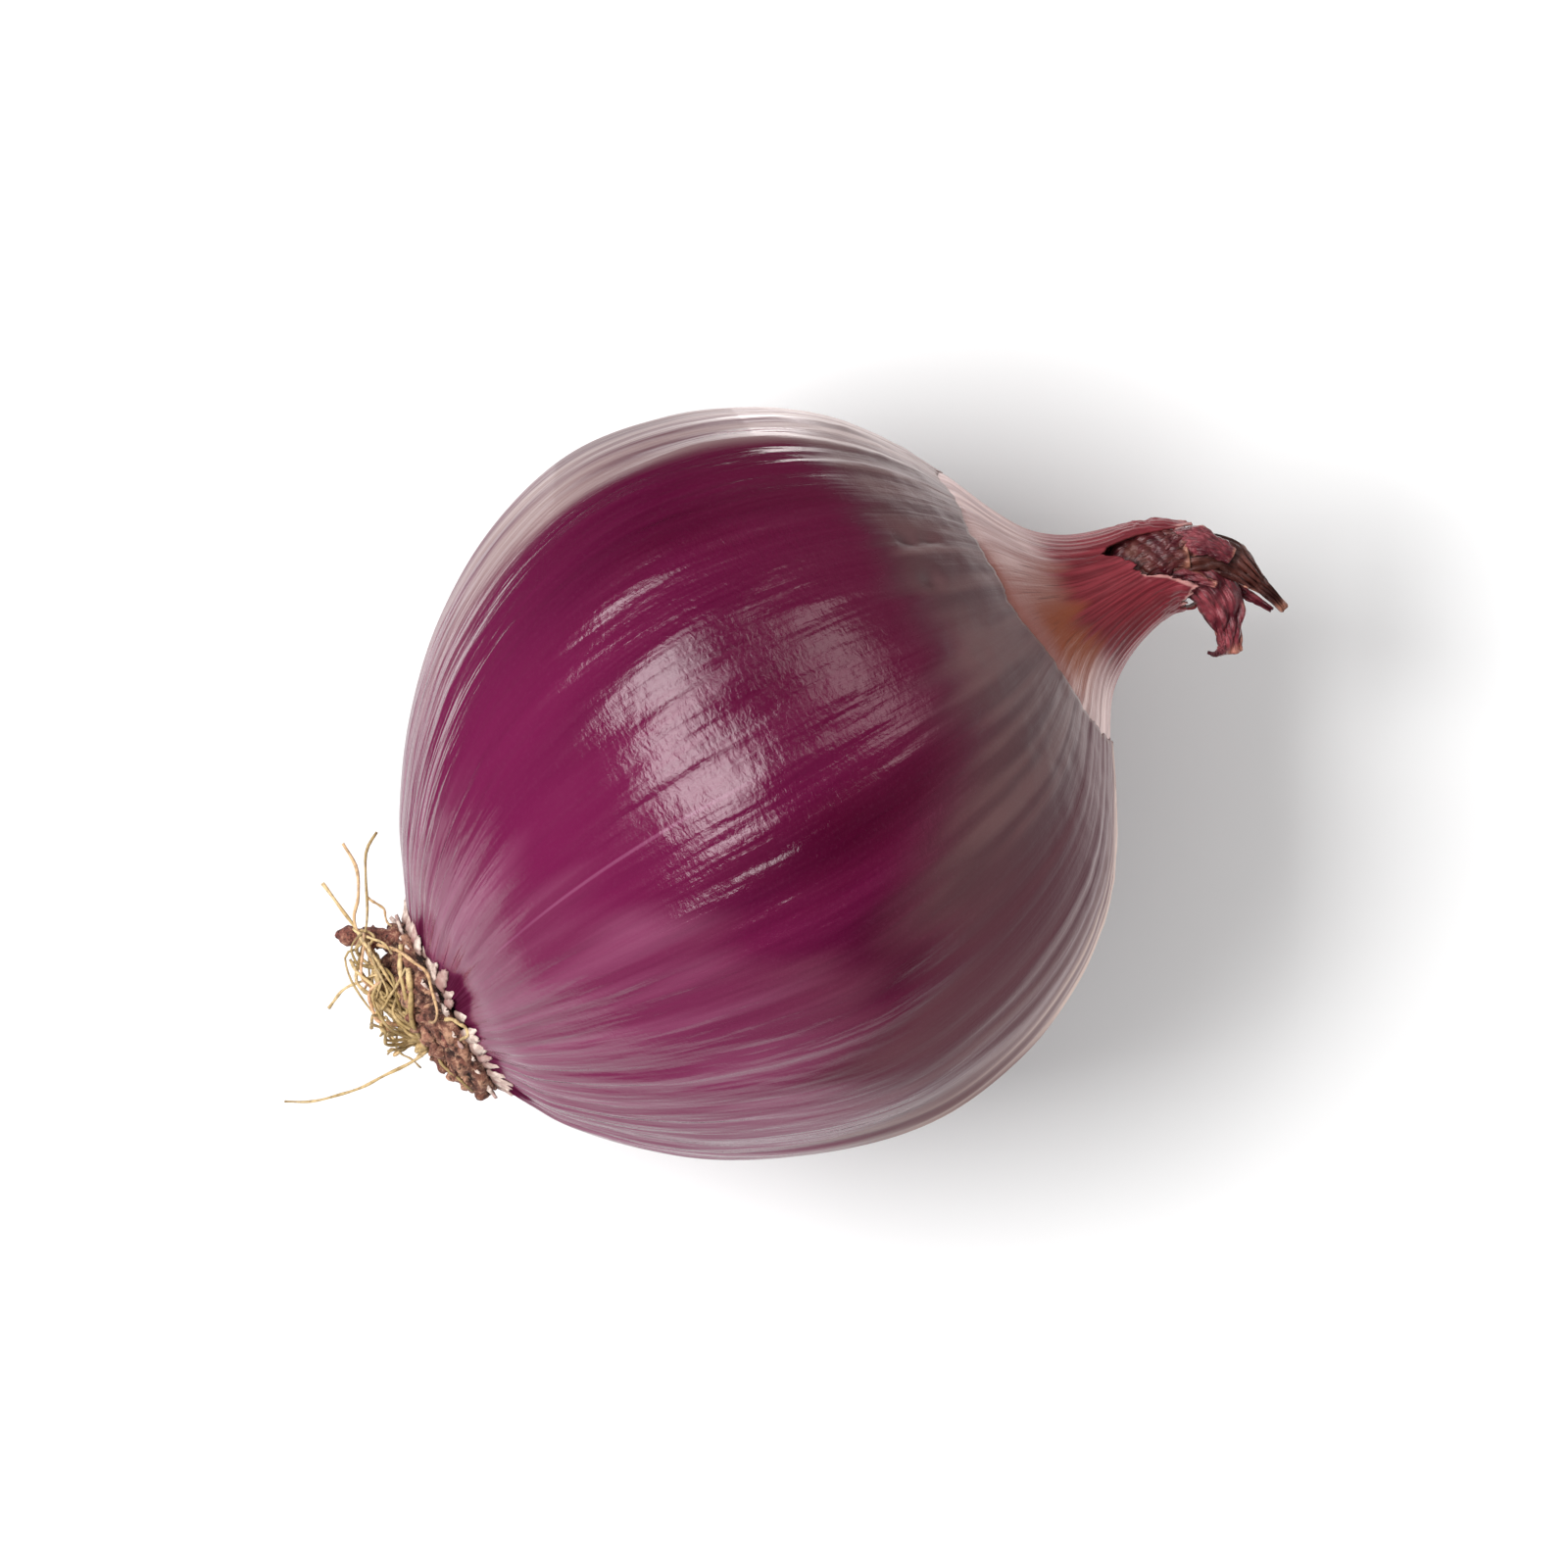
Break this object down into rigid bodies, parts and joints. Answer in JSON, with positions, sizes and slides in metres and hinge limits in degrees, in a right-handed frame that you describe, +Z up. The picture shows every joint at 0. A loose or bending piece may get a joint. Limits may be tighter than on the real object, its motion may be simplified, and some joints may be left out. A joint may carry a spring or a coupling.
{
  "type": "red onion",
  "caption": "Whole red onion lying on its side: ribbed glossy bulb with a torn dry outer skin, a drawn-out neck with dried leaf tips, and a corky root plate with dry roots.",
  "frame": {"origin": "middle of the small flat spot on the bulb's belly that the onion rests on", "axes": "+X along the bulb's axis from the roots towards the neck, +Z up, +Y to the left of +X seen from above"},
  "size_m": [0.1187, 0.0804, 0.0792],
  "materials": {
    "outer_skin": null,
    "neck_skin": null,
    "dry_leaf": null,
    "cork": null,
    "root_fibre": null
  },
  "bodies": {
    "root": {"bulb": "outer_skin", "neck": "neck_skin", "dry_leaves": "dry_leaf", "root_plate": "cork", "roots": "root_fibre"}
  },
  "joints": []
}
